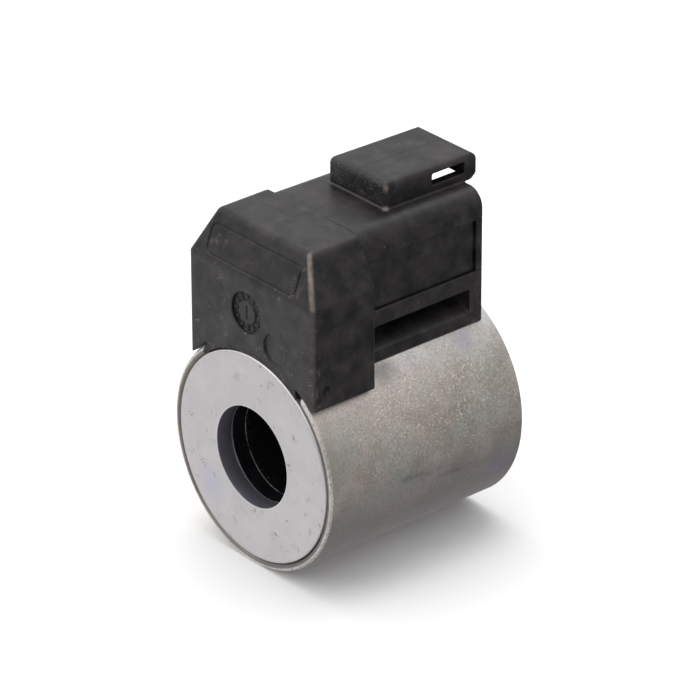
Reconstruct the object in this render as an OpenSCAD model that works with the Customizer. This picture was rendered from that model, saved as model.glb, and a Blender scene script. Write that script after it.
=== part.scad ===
// Solenoid coil of a directional valve: round steel flux shell, two pole washers and a black overmould
// that carries a two-way connector socket and its latch box.
// The origin is the centre of the bore on the front face. +Y runs along the bore to the rear,
// +Z points up to the connector and +X to the right.

/* [Coil] */
// Outer diameter of the flux shell
shell_d = 36; // [34:0.5:40]
// Length of the coil along the bore
coil_len = 38; // [37:0.5:42]
// Wall of the flux shell
shell_wall = 1.15; // [0.8:0.05:1.4]
// Bore that slips over the armature tube of the valve
bore_d = 16; // [13:0.5:17]
// Thickness of each pole washer
washer_t = 3; // [2:0.25:4]
// Radial gap between a pole washer and the flux shell
washer_gap = 0.15; // [0.05:0.05:0.3]

/* [Winding] */
// Wall of the bobbin tube
bobbin_wall = 1; // [0.8:0.1:1.5]
// Thickness of each bobbin flange
flange_t = 1.3; // [1:0.1:2]
// Outer radius of the bobbin flanges
flange_r = 15; // [14.5:0.1:15.3]
// Outer radius of the copper winding
winding_r = 14.2; // [12:0.1:14.4]
// Thickness of the tape over the winding
tape_t = 0.25; // [0.1:0.05:0.4]
// Diameter of the lead wires
lead_d = 0.5; // [0.3:0.05:0.7]

/* [Front block] */
// Width of the block above the front of the shell
block_w = 28; // [26:0.5:30]
// Length of the block along the bore
block_len = 12; // [11:0.25:13]
// Height of the fold where the block starts to taper
fold_z = 29.2; // [27:0.1:31]
// Height of the block's flat top
top_z = 36.6; // [35.5:0.1:38]
// Width of the block's flat top
block_top_w = 20.9; // [18:0.1:24]
// How far the front leans back between the fold and the top
front_lean = 2.8; // [1:0.1:4]
// Width of the neck that passes through the notch in the shell
neck_w = 20.2; // [18:0.1:21]
// Width of the notch in the shell
notch_w = 22.2; // [21.5:0.1:24]

/* [Connector] */
// Width of the connector behind the front block
conn_w = 21.1; // [20:0.1:23]
// Rear face of the connector
conn_end = 36.2; // [34:0.1:36.5]
// Radius of the connector's upper corners
conn_corner_r = 2.9; // [1:0.1:4]
// Underside of the connector socket
conn_floor_z = 20.7; // [20.2:0.1:21.5]
// Wall of the socket
socket_wall = 1.6; // [1.2:0.1:2]
// Bottom of the socket, measured along the bore
socket_y = 14.5; // [13:0.5:18]
// Diameter of the terminal pins
pin_d = 1.575; // [1.4:0.025:2]
// Distance between the terminal pins
pin_pitch = 6; // [5:0.1:7]
// Tip of the terminal pins
pin_tip_y = 28; // [24:0.5:32]

/* [Latch box] */
// Width of the latch box
latch_w = 13; // [12:0.1:15]
// Front face of the latch box
latch_y = 20.5; // [18:0.1:22]
// Rear face of the latch box
latch_end = 38.5; // [37:0.1:39]
// Top of the latch box
latch_z = 40.6; // [39:0.1:42]
// Front edge of the windows in its sides
window_y = 29.7; // [27:0.1:31]
// Front face of the bar that the plug's latch catches on
bar_y = 36; // [34:0.1:36.5]

/* [Hidden] */
$fn = 96;
over = 1;
overlap = 0.1;

// Flux shell and washers
shell_r = shell_d / 2;
shell_inner_r = shell_r - shell_wall;
rim_y = 0.15;
rim_bevel = 0.3;
washer_r = shell_inner_r - washer_gap;
washer_edge = 0.2;
bore_r = bore_d / 2;
notch_len = block_len + 0.5;

// Bobbin and winding
bobbin_y0 = washer_t;
bobbin_y1 = coil_len - washer_t;
bobbin_bore_r = bore_r + 0.1;
bobbin_tube_r = bobbin_bore_r + bobbin_wall;
bore_step_y = 2.6;
bore_step = 0.12;
wind_y0 = bobbin_y0 + flange_t;
wind_y1 = bobbin_y1 - flange_t;
tape_r = winding_r + tape_t;
encapsulation_r = washer_r + 0.1;

// Leads and terminals
socket_z0 = conn_floor_z + socket_wall;
conn_drop = 0.2;
conn_top_z = top_z - conn_drop;
socket_z1 = conn_top_z - socket_wall;
pin_r = pin_d / 2;
pin_z = (socket_z0 + socket_z1) / 2;
pin_root_y = 6.6;
pin_flange_r = 1.9;
pin_flange_t = 0.8;
pin_bevel = 0.8;
shank_r = pin_r + 0.45;
contact_y = socket_y + 0.5;
carrier_y = 8.6;
carrier_len = 2.4;
carrier_half_w = 6;
carrier_half_h = 2.6;
pin_flange_y = carrier_y + 0.8;
lead_r = lead_d / 2;
lead_y = 5.2;
lead_foot_z = 13;
lead_bend_z = pin_z - 1.4;
lead_slant = 1.6;
sleeve_wall = 0.3;
sleeve_z0 = 15.6;
sleeve_z1 = 24.6;
solder_r = 1.6;
solder_nose_r = 0.7;
solder_rim_r = shank_r + 0.1;
solder_y0 = pin_root_y - solder_r;
solder_y1 = pin_root_y + 0.9;

// Overmould
block_gap = 0.2;
block_foot_z = 12.8;
skirt_inner_z = 15.3;
conn_foot_z = 11.6;
socket_corner_r = 2;
groove_z = 23.2;
panel_top_z = 31.4;
panel_end = 34.9;
panel_depth = 0.45;
pocket_z0 = 16.6;
pocket_z1 = 20.5;
pocket_end = 33.7;
pocket_web = 3.2;
latch_foot_z = 36;
window_z = 37.5;
bar_z = 37.1;
latch_roof_z = 39.3;
latch_wall = 1.5;
latch_flare = 0.25;
disc_x = -0.9;
disc_z = 23.6;
disc_r = 3.25;
disc_depth = 0.4;
ejector_x = 5.4;
ejector_z = 20;
ejector_r = 2.35;
ejector_depth = 0.15;
ejector_line = 0.25;

// A solid turned about the bore axis, from a profile of [radius, y] points
module turned(profile) rotate([-90, 0, 0]) rotate_extrude() polygon(profile);

// A round rod along the bore direction
module rod_y(r, y0, y1, x = 0, z = 0)
    translate([x, y0, z]) rotate([-90, 0, 0]) cylinder(r = r, h = y1 - y0);

// An outline in X and Z, extruded from y0 to y1
module prism_y(y0, y1) translate([0, y1, 0]) rotate([90, 0, 0]) linear_extrude(y1 - y0) children();

// An outline in Y and Z, extruded over a width centred on X
module prism_x(w) translate([-w / 2, 0, 0]) rotate([90, 0, 90]) linear_extrude(w) children();

// A box between two corners
module span(a, b) translate(a) cube(b - a);

// A rectangle between two corners with its upper corners rounded
module arched(x, z0, z1, r) {
    translate([-x, z0]) square([2 * x, z1 - r - z0]);
    translate([r - x, z0]) square([2 * (x - r), z1 - z0]);
    for (side = [-1, 1]) translate([side * (x - r), z1 - r]) circle(r);
}

// A rectangle between two corners with all its corners rounded
module rounded(x, z0, z1, r) {
    arched(x, z0 + r, z1, r);
    translate([r - x, z0]) square([2 * (x - r), r + overlap]);
    for (side = [-1, 1]) translate([side * (x - r), z0 + r]) circle(r);
}

module pole_washer(y0) {
    y1 = y0 + washer_t;
    turned([[bore_r, y0], [washer_r - washer_edge, y0], [washer_r, y0 + washer_edge],
            [washer_r, y1 - washer_edge], [washer_r - washer_edge, y1], [bore_r, y1]]);
}

module flux_shell() color([0.55, 0.53, 0.51]) difference() {
    turned([[shell_inner_r, rim_y + rim_bevel], [shell_inner_r + rim_bevel, rim_y],
            [shell_r - rim_bevel, rim_y], [shell_r, rim_y + rim_bevel],
            [shell_r, coil_len - rim_bevel], [shell_r - rim_bevel, coil_len],
            [shell_inner_r + rim_bevel, coil_len], [shell_inner_r, coil_len - rim_bevel]]);
    span([-notch_w / 2, -over, 0], [notch_w / 2, notch_len, shell_d]);
}

module front_pole_washer() color([0.72, 0.71, 0.71]) pole_washer(0);

module rear_pole_washer() color([0.72, 0.71, 0.71]) pole_washer(coil_len - washer_t);

module bobbin() color([0.08, 0.08, 0.09])
    turned([[bobbin_bore_r + bore_step, bobbin_y0], [flange_r, bobbin_y0], [flange_r, wind_y0],
            [bobbin_tube_r, wind_y0], [bobbin_tube_r, wind_y1], [flange_r, wind_y1],
            [flange_r, bobbin_y1], [bobbin_bore_r + bore_step, bobbin_y1],
            [bobbin_bore_r + bore_step, bobbin_y1 - bore_step_y],
            [bobbin_bore_r, bobbin_y1 - bore_step_y - bore_step],
            [bobbin_bore_r, bobbin_y0 + bore_step_y + bore_step],
            [bobbin_bore_r + bore_step, bobbin_y0 + bore_step_y]]);

// The winding is one solid ring that stands for its layers of enamelled wire
module winding() color([0.72, 0.38, 0.18]) difference() {
    turned([[bobbin_tube_r, wind_y0], [winding_r, wind_y0], [winding_r, wind_y1], [bobbin_tube_r, wind_y1]]);
    for (side = [-1, 1]) lead_path(side);
}

module winding_tape() color([0.85, 0.70, 0.25]) difference() {
    turned([[winding_r, wind_y0], [tape_r, wind_y0], [tape_r, wind_y1], [winding_r, wind_y1]]);
    for (side = [-1, 1]) lead_path(side);
}

// A lead leaves the winding, rises inside the front block and turns back to its terminal pin
module lead_path(side) {
    x = side * pin_pitch / 2;
    translate([x, lead_y, lead_foot_z]) cylinder(r = lead_r, h = lead_bend_z - lead_foot_z);
    translate([x, lead_y, lead_bend_z]) sphere(lead_r);
    translate([x, lead_y, lead_bend_z]) rotate([-45, 0, 0]) cylinder(r = lead_r, h = lead_slant);
}

module lead(side) difference() {
    lead_path(side);
    solder_bead(side);
}

// The insulating sleeve that covers a lead
module lead_sleeve(side) translate([side * pin_pitch / 2, lead_y, sleeve_z0]) difference() {
    cylinder(r = lead_r + sleeve_wall, h = sleeve_z1 - sleeve_z0);
    translate([0, 0, -over]) cylinder(r = lead_r, h = sleeve_z1 - sleeve_z0 + 2 * over);
}

// The outside of a solder bead: bevelled at the lead, and tapered to the pin's shank
SOLDER_BEAD = [[0, solder_y0], [solder_nose_r, solder_y0], [solder_r, solder_y0 + solder_r - solder_nose_r],
               [solder_r, solder_y1 - solder_r + solder_rim_r], [solder_rim_r, solder_y1]];

module solder_bead(side) translate([side * pin_pitch / 2, 0, pin_z])
    turned(concat(SOLDER_BEAD, [[0, solder_y1]]));

// A bead with the seat that the pin's foot fills
module solder_joint(side) translate([side * pin_pitch / 2, 0, pin_z])
    turned(concat(SOLDER_BEAD, [[shank_r, solder_y1], [shank_r, pin_root_y], [0, pin_root_y]]));

// A round pin: a thick shank with a flange in the carrier, then the contact with its bevelled tip
module terminal_pin(side) translate([side * pin_pitch / 2, 0, pin_z])
    turned([[0, pin_root_y], [shank_r, pin_root_y], [shank_r, pin_flange_y], [pin_flange_r, pin_flange_y],
            [pin_flange_r, pin_flange_y + pin_flange_t], [shank_r, pin_flange_y + pin_flange_t],
            [shank_r, contact_y], [pin_r, contact_y], [pin_r, pin_tip_y - pin_bevel],
            [pin_r - pin_bevel / 2, pin_tip_y], [0, pin_tip_y]]);

module start_lead() color([0.72, 0.38, 0.18]) lead(-1);
module finish_lead() color([0.72, 0.38, 0.18]) lead(1);
module start_lead_sleeve() color([0.85, 0.85, 0.80]) lead_sleeve(-1);
module finish_lead_sleeve() color([0.85, 0.85, 0.80]) lead_sleeve(1);
module left_solder_joint() color([0.75, 0.75, 0.76]) solder_joint(-1);
module right_solder_joint() color([0.75, 0.75, 0.76]) solder_joint(1);
module left_terminal_pin() color([0.80, 0.79, 0.74]) terminal_pin(-1);
module right_terminal_pin() color([0.80, 0.79, 0.74]) terminal_pin(1);

// The insert that holds both pins at their pitch while the overmould is cast round them
module terminal_carrier_body()
    span([-carrier_half_w, carrier_y, pin_z - carrier_half_h],
         [carrier_half_w, carrier_y + carrier_len, pin_z + carrier_half_h]);

module terminal_carrier() color([0.12, 0.12, 0.13]) difference() {
    terminal_carrier_body();
    for (side = [-1, 1]) terminal_pin(side);
}

// The block in front of the connector: straight sides up to the fold, then a hipped top
module front_block() intersection() {
    prism_y(0, block_len)
        polygon([[-neck_w / 2, 0], [neck_w / 2, 0], [neck_w / 2, skirt_inner_z],
                 [block_w / 2, block_foot_z], [block_w / 2, fold_z], [block_top_w / 2, top_z],
                 [-block_top_w / 2, top_z], [-block_w / 2, fold_z], [-block_w / 2, block_foot_z],
                 [-neck_w / 2, skirt_inner_z]]);
    prism_x(block_w + over)
        polygon([[0, 0], [block_len, 0], [block_len, top_z], [front_lean, top_z], [0, fold_z]]);
}

module connector_body() prism_y(block_len - overlap, conn_end)
    arched(conn_w / 2, conn_foot_z, conn_top_z, conn_corner_r);

// The hollow box on top that the plug's latch snaps into
module latch_box_body() {
    foot_x = latch_w / 2 + latch_flare;
    span([-latch_w / 2, latch_y, latch_foot_z], [latch_w / 2, latch_end, latch_z]);
    prism_y(latch_y, conn_end)
        polygon([[-foot_x, conn_top_z - overlap], [foot_x, conn_top_z - overlap],
                 [latch_w / 2, conn_top_z + latch_flare], [-latch_w / 2, conn_top_z + latch_flare]]);
}

module latch_box_hollow() {
    inner_x = latch_w / 2 - latch_wall;
    span([-inner_x, window_y, socket_z1 - over], [inner_x, bar_y, latch_roof_z]);
    span([-inner_x, bar_y - over, socket_z1 - over], [inner_x, latch_end + over, bar_z]);
    span([-latch_w, window_y, window_z], [latch_w, bar_y, latch_roof_z]);
}

module socket() prism_y(socket_y, conn_end + over)
    rounded(conn_w / 2 - socket_wall, socket_z0, socket_z1, socket_corner_r);

// The deep slot below the socket, whose floor follows the flux shell
module side_pocket(side) difference() {
    span([side > 0 ? pocket_web : -block_w, block_len, 0],
         [side > 0 ? block_w : -pocket_web, pocket_end, pocket_z1]);
    rod_y(norm([conn_w / 2, pocket_z0]), block_len - over, coil_len);
}

// The shallow panel in each side of the connector
module side_panel(side) {
    inner_x = conn_w / 2 - panel_depth;
    translate([side > 0 ? inner_x : -conn_w / 2 - over, block_len, groove_z])
        cube([panel_depth + over, panel_end - block_len, panel_top_z - groove_z]);
}

module overmould_body() {
    front_block();
    connector_body();
    latch_box_body();
}

module overmould_housing() color([0.10, 0.10, 0.105]) difference() {
    union() {
        difference() {
            overmould_body();
            rod_y(shell_r, block_len, coil_len + over);
            rod_y(washer_r + block_gap, -over, washer_t);
        }
        rod_y(encapsulation_r, bobbin_y0, bobbin_y1);
    }
    rod_y(bobbin_tube_r, -over, coil_len + over);
    rod_y(tape_r, bobbin_y0, bobbin_y1);
    rod_y(flange_r, bobbin_y0 - over, wind_y0);
    rod_y(flange_r, wind_y1, bobbin_y1 + over);
    socket();
    latch_box_hollow();
    for (side = [-1, 1]) {
        side_pocket(side);
        side_panel(side);
        lead_path(side);
        lead_sleeve(side);
        solder_bead(side);
        terminal_pin(side);
    }
    terminal_carrier_body();
    rod_y(disc_r, -over, disc_depth, disc_x, disc_z);
    difference() {
        rod_y(ejector_r, -over, ejector_depth, ejector_x, ejector_z);
        rod_y(ejector_r - ejector_line, -2 * over, over, ejector_x, ejector_z);
    }
}

flux_shell();
front_pole_washer();
rear_pole_washer();
bobbin();
winding();
winding_tape();
start_lead();
finish_lead();
start_lead_sleeve();
finish_lead_sleeve();
left_solder_joint();
right_solder_joint();
left_terminal_pin();
right_terminal_pin();
terminal_carrier();
overmould_housing();
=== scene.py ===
"""Looks of a solenoid valve coil: steel flux shell, pole washers and a black overmould with a connector socket.

Sizes are in millimetres unless a comment says otherwise, in the row frame: the bore runs along +Y from the
front face, and +Z points up to the connector. The overmould is meshed from a distance field, so that every
edge is rounded.
"""
import math

import bpy
import numpy as np
from mathutils import Matrix, Vector


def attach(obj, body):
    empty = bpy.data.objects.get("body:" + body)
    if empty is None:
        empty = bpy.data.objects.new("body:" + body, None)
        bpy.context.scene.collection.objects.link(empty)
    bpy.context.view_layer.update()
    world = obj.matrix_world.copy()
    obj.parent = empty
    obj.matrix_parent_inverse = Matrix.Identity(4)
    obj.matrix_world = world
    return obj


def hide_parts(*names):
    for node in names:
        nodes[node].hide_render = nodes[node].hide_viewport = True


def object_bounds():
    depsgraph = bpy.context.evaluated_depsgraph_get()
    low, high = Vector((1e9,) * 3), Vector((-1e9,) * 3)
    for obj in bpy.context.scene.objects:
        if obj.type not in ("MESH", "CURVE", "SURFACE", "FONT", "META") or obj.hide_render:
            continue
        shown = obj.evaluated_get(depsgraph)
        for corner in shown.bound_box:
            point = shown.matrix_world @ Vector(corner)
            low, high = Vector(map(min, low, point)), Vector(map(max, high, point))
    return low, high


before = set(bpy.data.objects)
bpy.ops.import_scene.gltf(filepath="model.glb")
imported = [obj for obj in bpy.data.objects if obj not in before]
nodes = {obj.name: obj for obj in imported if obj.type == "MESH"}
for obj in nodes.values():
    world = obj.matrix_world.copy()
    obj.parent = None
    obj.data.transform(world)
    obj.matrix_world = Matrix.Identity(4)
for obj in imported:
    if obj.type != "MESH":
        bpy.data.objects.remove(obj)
cad_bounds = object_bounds()
scene = bpy.context.scene
MM = 0.001

# Light of the surround: its mean, how it grows along X, Y and Z, and how much it dips at the front horizon
WORLD_LEVEL = 0.75
WORLD_TILT = (-0.26, -0.33, 0.36)
WORLD_DIP = 0.75

# Where the lamps point, in metres
LIGHT_AIM = (0, 0.019, 0.011)

# ---------------------------------------------------------------------------
# Sizes
# ---------------------------------------------------------------------------
COIL_LEN = 38.0
SHELL_R = 18.0
SHELL_LIP_R = 17.45
BORE_R = 8.0
BORE_RELIEF_Y = 5.65
WASHER_R = 16.7
WASHER_T = 3.0

# The overmould fits round the shell and behind the front washer, and starts at the encapsulation ring
SHELL_GAP = 0.03
WASHER_RECESS_R = 16.9
CORE_R = 16.8

# The layer between the winding and the shell, as (radius, y) points
ENCAPSULATION = [(15.0, 3.0), (16.8, 3.0), (16.8, 35.0), (15.0, 35.0),
                 (15.0, 33.7), (14.45, 33.7), (14.45, 4.3), (15.0, 4.3)]

BLOCK_HALF = 14.0
BLOCK_TOP_HALF = 10.45
BLOCK_LEN = 12.0
FOLD_Z = 29.2
TOP_Z = 36.6
FRONT_LEAN = 2.8
NECK_HALF = 10.1
SKIRT_INNER_Z = 15.3
SKIRT_LEFT_FOOT_Z = 12.0
SKIRT_RIGHT_FOOT_Z = 12.8
NECK_TOP_Z = 24.0

CONN_HALF = 10.55
CONN_END = 36.2
CONN_TOP_REAR = 36.2
CONN_CORNER_R = 2.9

SOCKET_HALF = 8.95
SOCKET_Z = (22.3, 34.8)
SOCKET_Y = 14.5
SOCKET_CORNER_R = 2.0

PANEL_Y = (12.0, 34.9)
PANEL_Z = (23.2, 31.6)
PANEL_DEPTH = 0.4
GROOVE_WIDTH = 0.3
GROOVE_DEPTH = 0.8
POCKET_Z = (16.6, 20.55)
POCKET_Y = (12.0, 33.7)
POCKET_WEB = 3.2

LATCH_HALF = 6.5
LATCH_Y = (20.5, 38.5)
LATCH_Z = (36.0, 40.6)
LATCH_FALL = 0.35
LATCH_FLARE = 0.2
BAR_Z = 37.1
LATCH_WALL = 1.5
WINDOW_Y = (29.7, 36.0)
WINDOW_Z = (37.5, 39.3)

# Marks left by the mould: a dial, an ejector pin's, a pit in the right face, a plain outline and parting lines
DIAL_X = -0.9
DIAL_Z = 23.6
DIAL_R = 3.25
DIAL_DEPTH = 0.45
DIAL_HUB_R = 1.95
DIAL_TICKS = 12
DIAL_TICK_DEPTH = 0.24
EJECTOR_X = 5.4
EJECTOR_Z = 20.0
EJECTOR_R = 2.35
EJECTOR_DEPTH = 0.16
EJECTOR_TILT = 0.06
PIT_Y = 2.8
PIT_Z = 15.6
PIT_R = 0.75
OUTLINE_X = -0.4
OUTLINE_Z = 32.15
OUTLINE_HALF = (9.0, 1.2)
OUTLINE_R = 0.95
OUTLINE_WIDTH = 0.26
OUTLINE_DEPTH = 0.2
PARTING_X = -0.2
PARTING_Y = 8.5
PARTING_LEFT_X = -9.4

# Edge radii: where moulded faces fold, where cutters leave an edge, and the same for small marks
FOLD_R = 0.12
CUT_R = 0.12
MOUTH_R = 0.15
BLOCK_EDGE_R = 0.8


# ---------------------------------------------------------------------------
# Shader graphs
# ---------------------------------------------------------------------------
class Graph:
    """Short calls that add nodes to a shader tree. Each input is a constant or another node's output."""

    def __init__(self, tree):
        self.tree = tree

    def add(self, kind):
        return self.tree.nodes.new(kind)

    def feed(self, socket, value):
        if isinstance(value, bpy.types.NodeSocket):
            self.tree.links.new(value, socket)
        else:
            socket.default_value = value

    def math(self, operation, a, b=0.0):
        node = self.add("ShaderNodeMath")
        node.operation = operation
        self.feed(node.inputs[0], a)
        self.feed(node.inputs[1], b)
        return node.outputs[0]

    def span(self, value, low, high, to_low=0.0, to_high=1.0, kind="LINEAR"):
        """value from low to high, mapped to to_low to to_high and held there."""
        node = self.add("ShaderNodeMapRange")
        node.interpolation_type = kind
        self.feed(node.inputs["Value"], value)
        for name, amount in (("From Min", low), ("From Max", high), ("To Min", to_low), ("To Max", to_high)):
            node.inputs[name].default_value = amount
        return node.outputs["Result"]

    def all_of(self, *masks):
        total = masks[0]
        for mask in masks[1:]:
            total = self.math("MULTIPLY", total, mask)
        return total

    def any_of(self, *masks):
        total = masks[0]
        for mask in masks[1:]:
            total = self.math("MAXIMUM", total, mask)
        return total


# ---------------------------------------------------------------------------
# Camera and stage
# ---------------------------------------------------------------------------
def make_camera():
    """A long lens from the front right and above."""
    azimuth, elevation, roll = math.radians(49.172), math.radians(27.554), math.radians(-0.094)
    distance = 0.7767
    target = Vector((-0.00007, 0.01932, 0.01122))
    away = Vector((math.sin(azimuth) * math.cos(elevation), -math.cos(azimuth) * math.cos(elevation),
                   math.sin(elevation)))
    camera = bpy.data.objects.new("camera", bpy.data.cameras.new("camera"))
    camera.data.lens = 268.2
    camera.data.sensor_width = 36.0
    camera.data.clip_start = 0.01
    turn = (-away).to_track_quat("-Z", "Y").to_matrix().to_4x4() @ Matrix.Rotation(roll, 4, "Z")
    camera.matrix_world = Matrix.Translation(target + away * distance) @ turn
    scene.collection.objects.link(camera)
    scene.camera = camera


def area_light(name, place, size, power):
    """A square white soft box at a place in metres, aimed at the middle of the part."""
    lamp = bpy.data.lights.new(name, "AREA")
    lamp.shape = "SQUARE"
    lamp.size = size
    lamp.energy = power
    light = bpy.data.objects.new(name, lamp)
    aim = Vector(LIGHT_AIM) - Vector(place)
    light.matrix_world = Matrix.Translation(place) @ aim.to_track_quat("-Z", "Y").to_matrix().to_4x4()
    scene.collection.objects.link(light)


def make_floor():
    """A pale matt square that shiny faces don't mirror."""
    half, floor_z = 6.0, cad_bounds[0][2]
    mesh = bpy.data.meshes.new("floor")
    corners = [(-half, -half, floor_z), (half, -half, floor_z), (half, half, floor_z), (-half, half, floor_z)]
    mesh.from_pydata(corners, [], [(0, 1, 2, 3)])
    floor = bpy.data.objects.new("floor", mesh)
    floor.visible_glossy = False
    scene.collection.objects.link(floor)
    pale = bpy.data.materials.new("floor_pale")
    pale.use_nodes = True
    shader = pale.node_tree.nodes["Principled BSDF"]
    shader.inputs["Base Color"].default_value = (0.96, 0.96, 0.96, 1)
    shader.inputs["Roughness"].default_value = 0.9
    shader.inputs["Specular IOR Level"].default_value = 0.1
    mesh.materials.append(pale)


def make_world():
    """White light from all round, brightest from the front, left and top."""
    world = bpy.data.worlds.new("studio")
    world.use_nodes = True
    graph = Graph(world.node_tree)
    direction = graph.add("ShaderNodeTexCoord").outputs["Generated"]
    tilt = graph.add("ShaderNodeVectorMath")
    tilt.operation = "DOT_PRODUCT"
    graph.feed(tilt.inputs[0], direction)
    graph.feed(tilt.inputs[1], WORLD_TILT)
    split = graph.add("ShaderNodeSeparateXYZ")
    graph.feed(split.inputs[0], direction)
    above = graph.span(split.outputs["Z"], -0.38, -0.05, 0.0, 1.0, "SMOOTHSTEP")
    below = graph.span(split.outputs["Z"], 0.25, 0.6, 1.0, 0.0, "SMOOTHSTEP")
    ahead = graph.span(split.outputs["Y"], -0.1, -0.6, 0.0, WORLD_DIP, "SMOOTHSTEP")
    level = graph.math("ADD", tilt.outputs["Value"], WORLD_LEVEL)
    level = graph.math("SUBTRACT", level, graph.all_of(above, below, ahead))
    background = world.node_tree.nodes["Background"]
    background.inputs["Color"].default_value = (1.0, 1.0, 1.0, 1)
    graph.feed(background.inputs["Strength"], level)
    scene.world = world


def make_stage():
    make_floor()
    make_world()
    area_light("top_box", (-0.10, 0.15, 0.75), 0.60, 2.5)
    area_light("front_left_box", (-0.45, -0.75, 0.35), 0.50, 0.8)
    scene.view_settings.view_transform = "Standard"
    scene.view_settings.look = "None"


# ---------------------------------------------------------------------------
# Distance fields: negative inside, in millimetres
# ---------------------------------------------------------------------------
def meet(a, b, r):
    """What is in both, with the edge between them rounded to radius r."""
    u, v = np.maximum(a + r, 0), np.maximum(b + r, 0)
    return np.minimum(-r, np.maximum(a, b)) + np.sqrt(u * u + v * v)


def join(a, b, r):
    """What is in either, with a fillet of radius r in the corner between them."""
    u, v = np.maximum(r - a, 0), np.maximum(r - b, 0)
    return np.maximum(r, np.minimum(a, b)) - np.sqrt(u * u + v * v)


def flare(a, b, size):
    """What is in either, with a flat 45 degree flare in the corner between them."""
    return np.minimum(np.minimum(a, b), (a + b - size) * math.sqrt(0.5))


def cut(a, b, r):
    """a without b, with the new edges rounded to radius r."""
    return meet(a, -b, r)


def between(v, low, high):
    """Distance outside the slab from low to high."""
    return np.maximum(low - v, v - high)


def slope(u, v, start, end):
    """Distance from the line through start and end in the plane (u, v), positive on its left."""
    du, dv = end[0] - start[0], end[1] - start[1]
    length = math.hypot(du, dv)
    return ((v - start[1]) * du - (u - start[0]) * dv) / length


def brick(x, y, z, low, high, r):
    """A box between two corners with all its edges rounded."""
    parts = []
    for value, a, b in zip((x, y, z), low, high):
        parts.append(np.abs(value - (a + b) / 2) - (b - a) / 2 + r)
    outside = np.sqrt(sum(np.maximum(p, 0) ** 2 for p in parts))
    return outside + np.minimum(np.maximum(np.maximum(parts[0], parts[1]), parts[2]), 0) - r


def front_lean(y, z):
    """Distance in front of the sloping face above the fold."""
    return slope(y, z, (0, FOLD_Z), (FRONT_LEAN, TOP_Z))


def front_block(x, y, z):
    """The block above the shell's front, with a hipped top, and the neck that enters the shell."""
    ax = np.abs(x)
    sides = meet(ax - BLOCK_HALF, -slope(ax, z, (BLOCK_HALF, FOLD_Z), (BLOCK_TOP_HALF, TOP_Z)), FOLD_R)
    front = meet(-y, front_lean(y, z), 0.2)
    body = meet(sides, front, BLOCK_EDGE_R)
    body = meet(body, z - TOP_Z, BLOCK_EDGE_R)
    body = meet(body, y - BLOCK_LEN, FOLD_R)
    left, right = (-slope(ax, z, (NECK_HALF, SKIRT_INNER_Z), (BLOCK_HALF, foot))
                   for foot in (SKIRT_LEFT_FOOT_Z, SKIRT_RIGHT_FOOT_Z))
    body = meet(body, np.where(x < 0, left, right), FOLD_R)
    neck = meet(ax - NECK_HALF, between(y, 0, BLOCK_LEN + 0.4), MOUTH_R)
    return np.minimum(body, np.maximum(neck, z - NECK_TOP_Z))


def connector(x, y, z):
    """The narrow part behind the block, with the socket wall's rounded upper corners."""
    fall = (TOP_Z - CONN_TOP_REAR) / (CONN_END - BLOCK_LEN)
    top = z - (TOP_Z - 0.05 - fall * (y - BLOCK_LEN))
    body = meet(np.abs(x) - CONN_HALF, top, CONN_CORNER_R)
    body = meet(body, y - CONN_END, 0.35)
    return np.maximum(body, BLOCK_LEN - 1 - y)


def latch_box(x, y, z):
    """The hollow box on top, whose rear bar holds the plug's latch. Its top falls a little to the rear."""
    along = (y - LATCH_Y[0]) / (LATCH_Y[1] - LATCH_Y[0])
    body = meet(np.abs(x) - LATCH_HALF, LATCH_Y[0] - y, 1.0)
    body = meet(body, y - LATCH_Y[1], 0.4)
    body = meet(body, z - LATCH_Z[1] + LATCH_FALL * along, 1.1)
    return meet(body, LATCH_Z[0] - z, 0.35)


def latch_hollow(x, y, z):
    """The pocket in front of the bar, its mouth under the bar, and the window across both sides."""
    inner, outer, base = LATCH_HALF - LATCH_WALL, LATCH_HALF + 2, SOCKET_Z[1] - 1
    pocket = brick(x, y, z, (-inner, WINDOW_Y[0], base), (inner, WINDOW_Y[1], WINDOW_Z[1]), 0.25)
    mouth = brick(x, y, z, (-inner, WINDOW_Y[1] - 2, base), (inner, LATCH_Y[1] + 2, BAR_Z), 0.25)
    window = brick(x, y, z, (-outer, WINDOW_Y[0], WINDOW_Z[0]), (outer, WINDOW_Y[1], WINDOW_Z[1]), MOUTH_R)
    return np.minimum(np.minimum(pocket, mouth), window)


def socket(x, y, z):
    """The cavity for the plug, with a lead-in at its mouth."""
    middle = (SOCKET_Z[0] + SOCKET_Z[1]) / 2
    half = (SOCKET_Z[1] - SOCKET_Z[0]) / 2
    lead_in = np.maximum(y - CONN_END + 0.5, 0) * 0.8
    body = meet(np.abs(x) - SOCKET_HALF - lead_in, np.abs(z - middle) - half - lead_in, SOCKET_CORNER_R)
    return meet(body, SOCKET_Y - y, 0.6)


def side_recesses(x, y, z, around):
    """The shallow panel and the deep slot in each side of the connector."""
    ax = np.abs(x)
    panel = np.maximum(between(y, *PANEL_Y), between(z, *PANEL_Z))
    groove = np.maximum(panel, np.minimum(z - PANEL_Z[0], PANEL_Y[1] - y) - GROOVE_WIDTH)
    panel = np.maximum(CONN_HALF - PANEL_DEPTH - ax, panel)
    panel = np.minimum(panel, np.maximum(CONN_HALF - GROOVE_DEPTH - ax, groove))
    floor_r = math.hypot(CONN_HALF, POCKET_Z[0])
    slot = meet(z - POCKET_Z[1], floor_r - around, 0.2)
    slot = meet(slot, between(y, *POCKET_Y), 0.3)
    return np.minimum(panel, meet(slot, POCKET_WEB - ax, 0.5))


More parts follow.
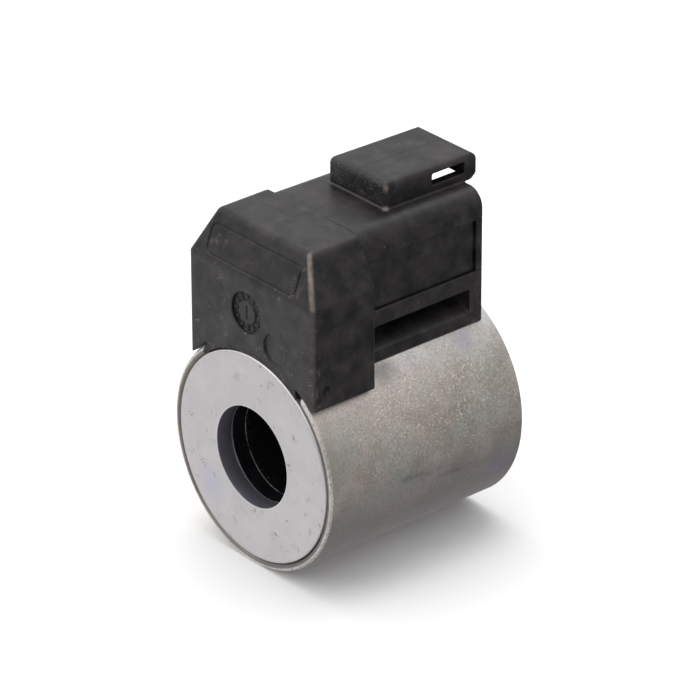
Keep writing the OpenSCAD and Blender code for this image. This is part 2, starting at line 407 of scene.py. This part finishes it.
def dial_recess(x, y, z):
    """A round recess with a ring of ticks, and a raised hub with one hand line."""
    across, up = x - DIAL_X, z - DIAL_Z
    away = np.hypot(across, up)
    on_ring = (away > DIAL_HUB_R + 0.2) * (away < DIAL_R - 0.3)
    on_tick = on_ring * (np.cos(DIAL_TICKS * np.arctan2(up, across)) > 0.45)
    depth = DIAL_DEPTH - DIAL_TICK_DEPTH * on_tick - 0.28 * np.clip((DIAL_HUB_R - away) / 0.1, 0, 1)
    hand = np.maximum(np.abs(across) - 0.16, between(up, -1.1, 1.2))
    depth = depth + 0.2 * np.clip(-hand / 0.08, 0, 1)
    return np.maximum(away - DIAL_R, y - depth)


def ejector_mark(x, y, z):
    """A shallow disc, deeper on its left."""
    away = np.hypot(x - EJECTOR_X, z - EJECTOR_Z)
    return np.maximum(away - EJECTOR_R, y - EJECTOR_DEPTH + EJECTOR_TILT * (x - EJECTOR_X))


def plain_outline(x, y, z):
    """A fine groove in the shape of a rounded bar on the sloping face."""
    across = np.abs(x - OUTLINE_X) - OUTLINE_HALF[0]
    up = np.abs(z - OUTLINE_Z) - OUTLINE_HALF[1]
    bar = np.hypot(np.maximum(across, 0), np.maximum(up, 0)) + np.minimum(np.maximum(across, up), 0)
    return np.maximum(np.abs(bar - OUTLINE_R) - OUTLINE_WIDTH / 2, -front_lean(y, z) - OUTLINE_DEPTH)


def front_marks(x, y, z):
    """What is sunk into the block."""
    pit = np.sqrt((x - BLOCK_HALF - 0.1) ** 2 + (y - PIT_Y) ** 2 + (z - PIT_Z) ** 2) - PIT_R
    marks = np.minimum(dial_recess(x, y, z), ejector_mark(x, y, z))
    return np.minimum(np.minimum(marks, plain_outline(x, y, z)), pit)


def overmould(x, y, z):
    around = np.hypot(x, z)
    body = join(front_block(x, y, z), connector(x, y, z), 0.2)
    body = flare(body, latch_box(x, y, z), LATCH_FLARE)
    body = cut(body, np.maximum(around - SHELL_R - SHELL_GAP, BLOCK_LEN - y), MOUTH_R)
    body = cut(body, np.maximum(around - WASHER_RECESS_R, y - WASHER_T), CUT_R)
    body = np.maximum(body, CORE_R - around)
    body = cut(body, socket(x, y, z), MOUTH_R)
    body = cut(body, latch_hollow(x, y, z), CUT_R)
    body = cut(body, side_recesses(x, y, z, around), CUT_R)
    return cut(body, front_marks(x, y, z), 0.05)


# ---------------------------------------------------------------------------
# Meshing a field
# ---------------------------------------------------------------------------
CORNERS = [(i, j, k) for i in (0, 1) for j in (0, 1) for k in (0, 1)]


def net(field, low, high, step):
    """Vertices and quads of the surface where a field is zero: one vertex in each grid cell that it crosses."""
    axes = [np.arange(a, b + step, step, dtype=np.float32) for a, b in zip(low, high)]
    size = tuple(len(a) for a in axes)
    value = np.broadcast_to(field(*np.meshgrid(*axes, indexing="ij", sparse=True)), size).astype(np.float32)
    inside = value < 0
    cells = tuple(n - 1 for n in size)
    count = np.zeros(cells, np.uint8)
    for i, j, k in CORNERS:
        count += inside[i:cells[0] + i, j:cells[1] + j, k:cells[2] + k]
    crossed = (count > 0) & (count < 8)
    at = np.array(np.nonzero(crossed))
    corner = {c: value[at[0] + c[0], at[1] + c[1], at[2] + c[2]] for c in CORNERS}
    total = np.zeros((3, at.shape[1]), np.float32)
    hits = np.zeros(at.shape[1], np.float32)
    for a in CORNERS:
        for axis in range(3):
            if a[axis]:
                continue
            b = tuple(1 if n == axis else a[n] for n in range(3))
            crossing = (corner[a] < 0) != (corner[b] < 0)
            part = np.where(crossing, corner[a] / np.where(crossing, corner[a] - corner[b], 1), 0)
            for n in range(3):
                total[n] += crossing * (a[n] + (part if n == axis else 0))
            hits += crossing
    points = (at + total / hits).T * step + np.array(low)
    index = np.full(cells, -1, np.int32)
    index[crossed] = np.arange(at.shape[1])
    quads = []
    for axis in range(3):
        u, v = (axis + 1) % 3, (axis + 2) % 3
        inner = [slice(1, -1)] * 3
        start, end = list(inner), list(inner)
        start[axis], end[axis] = slice(0, -1), slice(1, None)
        first, second = inside[tuple(start)], inside[tuple(end)]
        for grows in (True, False):
            edge = np.array(np.nonzero(first & ~second if grows else second & ~first))
            ring = []
            for du, dv in ((0, 0), (1, 0), (1, 1), (0, 1)):
                cell = edge.copy()
                cell[u] += du
                cell[v] += dv
                ring.append(index[tuple(cell)])
            quads.append(np.stack(ring if grows else ring[::-1], 1))
    return points, np.concatenate(quads)


def lathe(profile, segments=96):
    """Points and quads of a closed ring turned about the bore axis, from a profile of (radius, y) points."""
    turn = np.linspace(0, 2 * math.pi, segments, endpoint=False)
    radius, along = np.array(profile, float).T
    points = np.stack([np.outer(np.sin(turn), radius), np.broadcast_to(along, (segments, len(along))),
                       np.outer(np.cos(turn), radius)], 2).reshape(-1, 3)
    count = len(profile)
    here = np.arange(segments)[:, None] * count + np.arange(count)
    beside = np.roll(here, -1, axis=1)
    corners = [here, beside, np.roll(beside, -1, axis=0), np.roll(here, -1, axis=0)]
    return points, np.stack(corners, 2).reshape(-1, 4)


def mesh_object(name, points, faces):
    """An object from points in millimetres and equal-sided faces, shaded smooth."""
    mesh = bpy.data.meshes.new(name)
    faces = np.asarray(faces, np.int32)
    sides = faces.shape[1]
    mesh.vertices.add(len(points))
    mesh.vertices.foreach_set("co", (np.asarray(points) * MM).astype(np.float32).ravel())
    mesh.loops.add(faces.size)
    mesh.loops.foreach_set("vertex_index", faces.ravel())
    mesh.polygons.add(len(faces))
    mesh.polygons.foreach_set("loop_start", np.arange(0, faces.size, sides, dtype=np.int32))
    mesh.update(calc_edges=True)
    mesh.polygons.foreach_set("use_smooth", np.ones(len(faces), bool))
    piece = bpy.data.objects.new(name, mesh)
    scene.collection.objects.link(piece)
    return piece


def bake_modifiers(piece):
    """Turns the piece's modifiers into its own mesh."""
    graph = bpy.context.evaluated_depsgraph_get()
    mesh = bpy.data.meshes.new_from_object(piece.evaluated_get(graph), depsgraph=graph)
    piece.modifiers.clear()
    old = piece.data
    piece.data = mesh
    bpy.data.meshes.remove(old)


def make_overmould():
    """The housing with its encapsulation ring, from a grid whose planes miss the flat faces."""
    step = 0.12
    low = (-BLOCK_HALF - 1.01, -1.01, 10.01)
    high = (BLOCK_HALF + 1, LATCH_Y[1] + 1, LATCH_Z[1] + 1)
    points, faces = net(overmould, low, high, step)
    ring_points, ring_faces = lathe(ENCAPSULATION)
    piece = mesh_object("overmould_housing_look", np.concatenate([points, ring_points]),
                        np.concatenate([faces, ring_faces + len(points)]))
    thin = piece.modifiers.new("thin", "DECIMATE")
    thin.ratio = 0.45
    bake_modifiers(piece)
    return piece


# ---------------------------------------------------------------------------
# Materials
# ---------------------------------------------------------------------------
def linear(r, g, b):
    """A display colour of 0 to 255 as the linear colour that shaders take."""
    return tuple((c / 255 / 12.92) if c <= 10 else ((c / 255 + 0.055) / 1.055) ** 2.4 for c in (r, g, b)) + (1,)


class Paint(Graph):
    """A Principled material whose textures take sizes in millimetres of the row frame."""

    def __init__(self, name, metallic=0.0, specular=0.5):
        self.material = bpy.data.materials.new(name)
        self.material.use_nodes = True
        super().__init__(self.material.node_tree)
        self.shader = self.tree.nodes["Principled BSDF"]
        self.shader.inputs["Metallic"].default_value = metallic
        self.shader.inputs["Specular IOR Level"].default_value = specular
        self.coordinates = self.add("ShaderNodeTexCoord").outputs["Object"]

    def where(self, stretch=(1, 1, 1), turn=(0, 0, 0)):
        """Object coordinates in millimetres, turned by degrees and then stretched."""
        vector = self.coordinates
        angles, scales = [math.radians(t) for t in turn], [s / MM for s in stretch]
        for kind, amount in (("Rotation", angles), ("Scale", scales)):
            node = self.add("ShaderNodeMapping")
            self.feed(node.inputs["Vector"], vector)
            node.inputs[kind].default_value = amount
            vector = node.outputs["Vector"]
        return vector

    def axes(self):
        """X, Y and Z in millimetres."""
        node = self.add("ShaderNodeSeparateXYZ")
        self.feed(node.inputs[0], self.where())
        return tuple(node.outputs)

    def noise(self, per_mm, detail=3.0, rough=0.55, stretch=(1, 1, 1), turn=(0, 0, 0), twist=0.0):
        node = self.add("ShaderNodeTexNoise")
        self.feed(node.inputs["Vector"], self.where(stretch, turn))
        settings = {"Scale": per_mm, "Detail": detail, "Roughness": rough, "Distortion": twist}
        for name, amount in settings.items():
            node.inputs[name].default_value = amount
        return node.outputs["Fac"]

    def fade(self, per_mm, low, high, to_low=0.0, to_high=1.0, detail=3.0, rough=0.55, turn=(0, 0, 0)):
        """Noise from low to high, mapped to to_low to to_high."""
        return self.span(self.noise(per_mm, detail, rough, turn=turn), low, high, to_low, to_high)

    def cells(self, per_mm):
        """Distance to the nearest point of a random scatter, and a random value for that point."""
        node = self.add("ShaderNodeTexVoronoi")
        self.feed(node.inputs["Vector"], self.where())
        node.inputs["Scale"].default_value = per_mm
        split = self.add("ShaderNodeSeparateColor")
        self.feed(split.inputs[0], node.outputs["Color"])
        return node.outputs["Distance"], split.outputs[0]

    def apart(self, a, a_target, b, b_target):
        """Distance in the plane of a and b from a point that may itself vary."""
        da, db = self.math("SUBTRACT", a, a_target), self.math("SUBTRACT", b, b_target)
        return self.math("SQRT", self.math("ADD", self.math("MULTIPLY", da, da), self.math("MULTIPLY", db, db)))

    def near(self, value, target, half, soft):
        """1 where value is within half of target, falling to 0 over soft."""
        away = self.math("ABSOLUTE", self.math("SUBTRACT", value, target))
        return self.span(away, half + soft, half)

    def mix(self, amount, a, b):
        """Colour a, turning to colour b where amount is 1."""
        node = self.add("ShaderNodeMix")
        node.data_type = "RGBA"
        self.feed(node.inputs["Factor"], amount)
        for socket in node.inputs:
            if socket.type == "RGBA":
                self.feed(socket, {"A": a, "B": b}[socket.name])
        return next(output for output in node.outputs if output.type == "RGBA")

    def coat(self, tone, mask, share, colour):
        """tone, covered by a share of colour where mask is 1."""
        return self.mix(self.math("MULTIPLY", mask, share), tone, colour)

    def scratches(self, turn):
        """Short hairlines in one direction on an XZ face, in patches."""
        ridge = self.math("SUBTRACT", self.noise(1.0, 0.0, 0.5, (0.25, 1, 3.0), turn), 0.5)
        line = self.span(self.math("ABSOLUTE", ridge), 0.06, 0.02)
        return self.all_of(line, self.fade(0.45, 0.62, 0.67, detail=2.0, rough=0.5, turn=turn))

    def finish(self, colour, roughness, height, bump_mm, strength=1.0):
        """Feeds the shader and gives the material."""
        bump = self.add("ShaderNodeBump")
        bump.inputs["Strength"].default_value = strength
        bump.inputs["Distance"].default_value = bump_mm * MM
        self.feed(bump.inputs["Height"], height)
        self.feed(self.shader.inputs["Base Color"], colour)
        self.feed(self.shader.inputs["Roughness"], roughness)
        self.feed(self.shader.inputs["Normal"], bump.outputs["Normal"])
        return self.material


def housing_recess_shade(p, x, y, z):
    """Painted shade: darker in the dial, in the pit and along the ejector mark's deep side."""
    front = p.span(y, 1.0, 0.8)
    from_dial = p.apart(x, DIAL_X, z, DIAL_Z)
    off_hub = p.span(from_dial, 1.7, 2.1, 0.35, 1.0)
    dial = p.all_of(p.span(from_dial, DIAL_R + 0.5, DIAL_R - 0.1), off_hub, front)
    pit = p.all_of(p.span(p.apart(y, PIT_Y, z, PIT_Z), 0.8, 0.5), p.span(x, 12.0, 13.0))
    from_ejector = p.apart(x, EJECTOR_X, z, EJECTOR_Z)
    deep_side = p.span(x, EJECTOR_X + 1.2, EJECTOR_X - 0.6)
    ejector = p.all_of(p.near(from_ejector, EJECTOR_R, 0.1, 0.15), deep_side, front)
    return p.any_of(dial, pit, ejector)


def housing_wear_and_highlights(p, x, y, z):
    """Painted highlights and edge wear: the block's right hip is rubbed and lit, the block's front corner and
    the latch box's foot strip carry painted highlights, and the latch box's corner is rubbed.
    """
    rise = p.span(z, FOLD_Z, TOP_Z)
    hip_x = p.span(rise, 0.0, 1.0, BLOCK_HALF - 0.45, BLOCK_TOP_HALF - 0.45)
    hip_y = p.span(rise, 0.0, 1.0, 0.5, FRONT_LEAN)
    hip = p.all_of(p.span(p.apart(x, hip_x, y, hip_y), 0.55, 0.15), p.span(z, 28.8, 29.6))
    below_fold = p.span(z, 29.6, 28.8, 0.0, 0.22)
    block_corner = p.all_of(p.span(p.apart(x, BLOCK_HALF - 0.1, y, 0.1), 0.8, 0.2), below_fold)
    ends = p.any_of(p.near(z, 39.8, 0.2, 0.7), p.near(z, TOP_Z, 0.1, 0.35))
    latch_corner = p.all_of(p.span(p.apart(x, LATCH_HALF - 0.1, y, LATCH_Y[0] + 0.1), 0.7, 0.2), ends)
    foot = p.all_of(p.near(y, LATCH_Y[0] - 0.05, 0.1, 0.2), p.near(z, TOP_Z - 0.05, 0.05, 0.2), 0.12)
    # Edge wear and painted highlights together.
    rubbed_and_lit = p.any_of(hip, block_corner, latch_corner, foot)
    return p.all_of(rubbed_and_lit, p.fade(1.1, 0.30, 0.60, 0.45, 1.0, 4.0, 0.6))


def parting_lines(p, x, y, z):
    """The mould's centre line on both tops, and its cross line on the left half of the block."""
    tops = p.span(z, 36.0, 36.1)
    off_step = p.any_of(p.span(y, 15.6, 14.6), p.span(z, 38.0, 39.0))
    centre = p.all_of(p.near(x, PARTING_X, 0.05, 0.06), p.span(y, PARTING_Y - 0.05, PARTING_Y), tops, off_step)
    right_end = p.span(x, PARTING_X + 0.03, PARTING_X)
    left_end = p.span(x, PARTING_LEFT_X, PARTING_LEFT_X + 0.8)
    return p.any_of(centre, p.all_of(p.near(y, PARTING_Y, 0.05, 0.06), right_end, left_end, tops))


def moulding_grain(p, x, y, z):
    """Where the moulding is coarse: the latch box's front, the rear rim and the flash round the washer."""
    latch_front = p.all_of(p.near(y, LATCH_Y[0], 0.2, 0.3), p.span(z, 36.7, 37.1))
    rear_rim = p.all_of(p.span(y, PANEL_Y[1], PANEL_Y[1] + 0.1), p.span(z, 34.0, 33.0), 0.5)
    washer_gap = p.near(p.apart(x, 0.0, z, 0.0), 17.1, 0.25, 0.15)
    flash = p.all_of(washer_gap, p.span(y, 0.6, 0.4), p.span(z, 10.0, 12.0))
    return p.any_of(latch_front, rear_rim, flash)


def housing_nylon():
    """Black glass-filled nylon: satin, with fibre speckle, scuffs, dust, fine parting lines, edge wear, painted
    highlights on edges, painted shade in the front recesses and painted glints.
    """
    p = Paint("housing_nylon", specular=0.45)
    x, y, z = p.axes()
    tone = p.mix(p.fade(0.22, 0.38, 0.62, detail=4.0, rough=0.6), linear(13, 11, 14), linear(40, 35, 38))
    # Painted shade in the dial, the pit and the ejector mark's deep side.
    tone = p.coat(tone, housing_recess_shade(p, x, y, z), 0.8, linear(8, 8, 9))
    tone = p.mix(p.fade(7.0, 0.58, 0.78, 0.0, 0.22), tone, linear(78, 74, 72))
    scuffed = p.fade(0.35, 0.50, 0.70, detail=4.0, rough=0.6, turn=(20, 50, 0))
    tone = p.coat(tone, scuffed, 0.3, linear(70, 65, 62))
    hairlines = p.all_of(p.any_of(p.scratches((0, 20, 0)), p.scratches((0, 75, 0))), p.span(y, 2.2, 1.6))
    tone = p.coat(tone, hairlines, 0.4, linear(120, 112, 106))
    # Painted highlights along the right hip, the block's front corner and the latch box's foot strip, with real
    # edge wear at the hip and the latch box's corner.
    tone = p.coat(tone, housing_wear_and_highlights(p, x, y, z), 0.5, linear(180, 164, 154))
    far, pick = p.cells(0.75)
    dust = p.all_of(p.span(far, 0.06, 0.03), p.span(pick, 0.70, 0.71))
    tone = p.coat(tone, dust, 0.6, linear(190, 184, 178))
    lines = parting_lines(p, x, y, z)
    tone = p.coat(tone, lines, 0.8, linear(10, 10, 11))
    coarse = moulding_grain(p, x, y, z)
    # Painted glints: bright specks of highlight on the coarse moulding.
    painted_glints = p.all_of(coarse, p.fade(5.0, 0.58, 0.68, detail=2.0, rough=0.6))
    tone = p.coat(tone, painted_glints, 0.5, linear(140, 138, 136))

    grain = p.all_of(p.noise(3.2, 3.0, 0.65), coarse, 9.0)
    height = p.math("ADD", p.noise(14.0, 3.0, 0.6), grain)
    height = p.math("SUBTRACT", height, p.math("MULTIPLY", lines, 6.0))
    height = p.math("SUBTRACT", height, p.math("MULTIPLY", hairlines, 1.5))
    rough = p.math("ADD", p.fade(0.4, 0.3, 0.7, 0.38, 0.48), p.math("MULTIPLY", coarse, 0.15))
    return p.finish(tone, rough, height, 0.008)


def shell_rim_shade_and_highlights(p, tone, x, y, z):
    """Painted shade in the gap beside the washer, and broken painted highlights along the lips at both ends of
    the tube.
    """
    radius = p.apart(x, 0.0, z, 0.0)
    front = p.span(y, 0.6, 0.4)
    # Painted shade: dark in the gap beside the washer.
    painted_gap_shade = p.all_of(front, p.span(radius, SHELL_LIP_R + 0.1, SHELL_LIP_R - 0.1))
    tone = p.coat(tone, painted_gap_shade, 0.7, linear(96, 94, 92))
    # Painted highlights: bright broken lines along the front and rear lips.
    front_lip_highlight = p.all_of(front, p.span(radius, SHELL_LIP_R, SHELL_LIP_R + 0.15))
    lip_highlights = p.any_of(front_lip_highlight, p.span(y, COIL_LEN - 0.4, COIL_LEN - 0.25))
    broken = p.fade(2.2, 0.40, 0.62, 0.15, 0.85, rough=0.7)
    return p.mix(p.all_of(lip_highlights, broken), tone, linear(236, 232, 226))


def shell_stains(p, tone, x, y, z):
    """Two bluish patches, and a dark cloud and a dark slanting streak, all on the right-hand side."""
    right = p.span(x, 0.0, 1.0)
    high_blue = p.all_of(p.near(y, 31.4, 0.3, 2.2), p.near(z, 13.7, 0.2, 1.5), right)
    low_blue = p.all_of(p.near(y, 34.1, 0.5, 3.0), p.near(z, -6.7, 0.5, 3.0), right)
    tone = p.coat(tone, p.any_of(high_blue, low_blue), 0.4, linear(158, 156, 192))
    cloud = p.all_of(p.near(y, 15.2, 0.8, 2.8), p.near(z, 13.8, 0.3, 1.6), right)
    slanted = p.math("ADD", z, p.math("MULTIPLY", p.math("SUBTRACT", y, 14.2), 0.2))
    broken = p.span(p.noise(0.9, 4.0, 0.65, (1, 0.4, 1)), 0.40, 0.66, 0.0, 0.8)
    streak = p.all_of(p.near(slanted, -1.2, 0.1, 1.6), p.near(y, 20.0, 6.0, 6.0), right, broken)
    return p.coat(tone, p.any_of(cloud, streak), 0.55, linear(104, 104, 106))


def shell_steel():
    """Passivated steel tube: warm grey with faint pink and green zones, fine curly marks and stains, painted
    light high up, painted shade low on the right, and painted shade and highlights at the rims.
    """
    p = Paint("shell_steel", metallic=0.85)
    x, y, z = p.axes()
    tone = p.mix(p.fade(0.11, 0.36, 0.64, rough=0.5), linear(212, 198, 192), linear(192, 195, 186))
    tone = p.mix(p.fade(0.16, 0.46, 0.66, 0.0, 0.6, turn=(40, 10, 0)), tone, linear(170, 154, 146))
    tone = p.mix(p.fade(0.8, 0.40, 0.75, 0.0, 0.35, 4.0, 0.6, (0, 0, 70)), tone, linear(168, 164, 160))
    # Painted shade: darker towards the bottom on the right-hand side.
    painted_lower_shade = p.all_of(p.span(z, 1.0, -8.0, 0.0, 0.75), p.span(x, 0.0, 4.0))
    tone = p.mix(painted_lower_shade, tone, linear(158, 154, 158))
    # Painted light: lighter high on the tube, just below the housing.
    painted_top_light = p.all_of(p.span(z, 10.5, 13.5), p.fade(0.2, 0.35, 0.60, 0.3, 1.0, 2.0))
    tone = p.coat(tone, painted_top_light, 0.65, linear(216, 218, 220))

    crowd = p.all_of(p.near(z, 7.5, 2.0, 8.0), p.near(y, 22.0, 8.0, 12.0), p.fade(0.35, 0.36, 0.60, 0.25, 1.0))
    ridge = p.math("ABSOLUTE", p.math("SUBTRACT", p.noise(1.7, 1.0, 0.5, twist=0.6), 0.5))
    curls = p.all_of(p.span(ridge, 0.075, 0.025), p.fade(2.4, 0.56, 0.62, detail=1.0, turn=(30, 0, 50)), crowd)
    tone = p.mix(curls, tone, linear(252, 246, 238))
    speckle = p.noise(3.6, 2.0, 0.7)
    bright = p.all_of(p.span(speckle, 0.54, 0.64), p.span(crowd, 0.0, 0.5, 0.2, 0.9))
    tone = p.mix(bright, tone, linear(240, 232, 224))
    tone = p.mix(p.fade(3.0, 0.52, 0.66, 0.0, 0.42, 2.0, 0.7, (15, 25, 5)), tone, linear(136, 130, 126))
    tone = shell_rim_shade_and_highlights(p, tone, x, y, z)
    tone = shell_stains(p, tone, x, y, z)
    rough = p.fade(0.3, 0.3, 0.7, 0.42, 0.56, 4.0, 0.6)
    return p.finish(tone, rough, p.math("ADD", speckle, p.math("MULTIPLY", curls, 0.8)), 0.010, 0.8)


def washer_steel():
    """Ground and plated flat steel: even light grey with faint nicks, pits and a bluish bloom, painted
    highlights at the edges and a painted darker bluish shade on the bore wall.
    """
    p = Paint("washer_steel", metallic=0.8)
    x, y, z = p.axes()
    tone = p.mix(p.fade(0.2, 0.35, 0.65, detail=4.0), linear(206, 202, 203), linear(198, 195, 198))
    tone = p.mix(p.fade(8.0, 0.45, 0.8, 0.0, 0.25), tone, linear(182, 178, 180))
    nicks = p.any_of(p.scratches((0, 40, 0)), p.scratches((0, -60, 0)))
    tone = p.coat(tone, nicks, 0.5, linear(118, 110, 108))
    radius = p.apart(x, 0.0, z, 0.0)
    # Painted highlights: bright thin lines at the outer edge and the bore edge.
    rim_highlights = p.any_of(p.near(radius, WASHER_R - 0.08, 0.06, 0.10), p.near(radius, BORE_R + 0.12, 0.03, 0.08))
    tone = p.coat(tone, rim_highlights, 0.7, linear(244, 240, 238))
    # Painted shade: the bore wall darker and bluish.
    inside = p.span(radius, BORE_R + 0.12, BORE_R + 0.04)
    tone = p.mix(inside, tone, linear(150, 150, 162))
    # Painted highlights: bright lines where the bore wall meets the inner faces.
    inner_edge_highlights = p.any_of(p.near(y, WASHER_T - 0.1, 0.1, 0.06), p.near(y, COIL_LEN - WASHER_T + 0.1, 0.1, 0.06))
    tone = p.mix(p.all_of(inside, inner_edge_highlights), tone, linear(250, 248, 250))
    far, pick = p.cells(0.45)
    pits = p.all_of(p.span(far, 0.06, 0.03), p.span(pick, 0.5, 0.52))
    tone = p.coat(tone, pits, 0.55, linear(110, 104, 102))
    bloom = p.all_of(p.near(x, -9.3, 0.5, 3.0), p.near(z, -8.6, 0.5, 3.6))
    tone = p.coat(tone, bloom, 0.35, linear(176, 184, 212))
    height = p.math("SUBTRACT", p.noise(12.0, 3.0), nicks)
    return p.finish(tone, p.fade(0.5, 0.3, 0.7, 0.36, 0.44), height, 0.004, 0.6)


def bobbin_nylon():
    """Smooth black nylon with a little dust, and painted highlights along the front edge and at the step in the
    bore.
    """
    p = Paint("bobbin_nylon")
    along = p.axes()[1]
    tone = p.mix(p.fade(0.4, 0.4, 0.6), linear(20, 20, 23), linear(26, 26, 29))
    far, pick = p.cells(0.6)
    tone = p.mix(p.all_of(p.span(far, 0.05, 0.02), p.span(pick, 0.6, 0.62)), tone, linear(150, 148, 150))
    # Painted highlights: a bright broken line along the bore's front edge and a faint one at the step.
    edge = p.all_of(p.near(along, WASHER_T + 0.06, 0.08, 0.05), p.fade(1.5, 0.35, 0.60, 0.4, 1.0))
    ring = p.all_of(p.near(along, BORE_RELIEF_Y, 0.02, 0.04), p.fade(1.5, 0.42, 0.58, 0.0, 0.5))
    tone = p.mix(p.any_of(edge, ring), tone, linear(160, 160, 168))
    return p.finish(tone, p.fade(1.2, 0.3, 0.7, 0.16, 0.3), p.noise(2.0, 2.0), 0.004, 0.5)


def plain_metal(name, light, dark, roughness):
    """A drawn or tinned metal with faint clouding and fine lines along the bore direction."""
    p = Paint(name, metallic=1.0)
    tone = p.mix(p.fade(0.8, 0.35, 0.65), light, dark)
    lines = p.noise(6.0, 3.0, 0.6, (1, 0.08, 1))
    return p.finish(tone, p.span(lines, 0.3, 0.7, roughness - 0.06, roughness + 0.06), lines, 0.003, 0.5)


def wound(name, light, dark, pitch, metallic, roughness):
    """A surface of fine turns round the bore axis, for the winding and its tape."""
    p = Paint(name, metallic=metallic)
    turns = p.math("SINE", p.math("MULTIPLY", p.axes()[1], 2 * math.pi / pitch))
    tone = p.mix(p.span(turns, -1.0, 0.2), dark, light)
    tone = p.mix(p.fade(0.5, 0.3, 0.7, 0.0, 0.3), tone, dark)
    return p.finish(tone, p.fade(1.0, 0.3, 0.7, roughness - 0.05, roughness + 0.08), turns, 0.05, 0.7)


def woven_sleeve():
    """Pale woven glass."""
    p = Paint("sleeve_glass")
    x, y, z = p.axes()
    weave = p.all_of(p.math("SINE", p.math("MULTIPLY", z, 20.0)), p.math("SINE", p.math("MULTIPLY", x, 30.0)))
    tone = p.mix(p.span(weave, -1.0, 1.0), linear(196, 190, 170), linear(226, 222, 206))
    return p.finish(tone, 0.8, weave, 0.03)


def clothe():
    """Gives every CAD node that stays its material."""
    tinned = plain_metal("tinned_brass", linear(214, 210, 198), linear(190, 184, 170), 0.28)
    looks = {
        "flux_shell": shell_steel(),
        "front_pole_washer": washer_steel(),
        "bobbin": bobbin_nylon(),
        "winding": wound("copper_wire", linear(214, 124, 72), linear(120, 56, 30), 0.5, 1.0, 0.3),
        "winding_tape": wound("polyester_tape", linear(214, 178, 84), linear(190, 150, 60), 9.0, 0.0, 0.25),
        "start_lead_sleeve": woven_sleeve(),
        "left_solder_joint": plain_metal("solder", linear(206, 206, 210), linear(180, 180, 186), 0.3),
        "left_terminal_pin": tinned,
    }
    same = {"rear_pole_washer": "front_pole_washer", "start_lead": "winding", "finish_lead": "winding",
            "finish_lead_sleeve": "start_lead_sleeve", "right_solder_joint": "left_solder_joint",
            "right_terminal_pin": "left_terminal_pin", "terminal_carrier": "bobbin"}
    for name, like in same.items():
        looks[name] = looks[like]
    for name, material in looks.items():
        node = nodes[name]
        node.data.materials.clear()
        node.data.materials.append(material)


def soften(name, width):
    """Rounds the sharp edges of a CAD node."""
    node = nodes[name]
    weld = node.modifiers.new("weld", "WELD")
    weld.merge_threshold = 0.001 * MM
    bevel = node.modifiers.new("round", "BEVEL")
    bevel.width = width * MM
    bevel.segments = 3
    bevel.limit_method = "ANGLE"
    bevel.angle_limit = math.radians(28)
    node.data.shade_smooth()


make_camera()
make_stage()

housing = make_overmould()
housing.data.materials.append(housing_nylon())
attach(housing, "root")
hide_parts("overmould_housing")

clothe()
for name, width in (("flux_shell", 0.12), ("front_pole_washer", 0.12), ("rear_pole_washer", 0.12),
                    ("bobbin", 0.05), ("left_terminal_pin", 0.05), ("right_terminal_pin", 0.05)):
    soften(name, width)
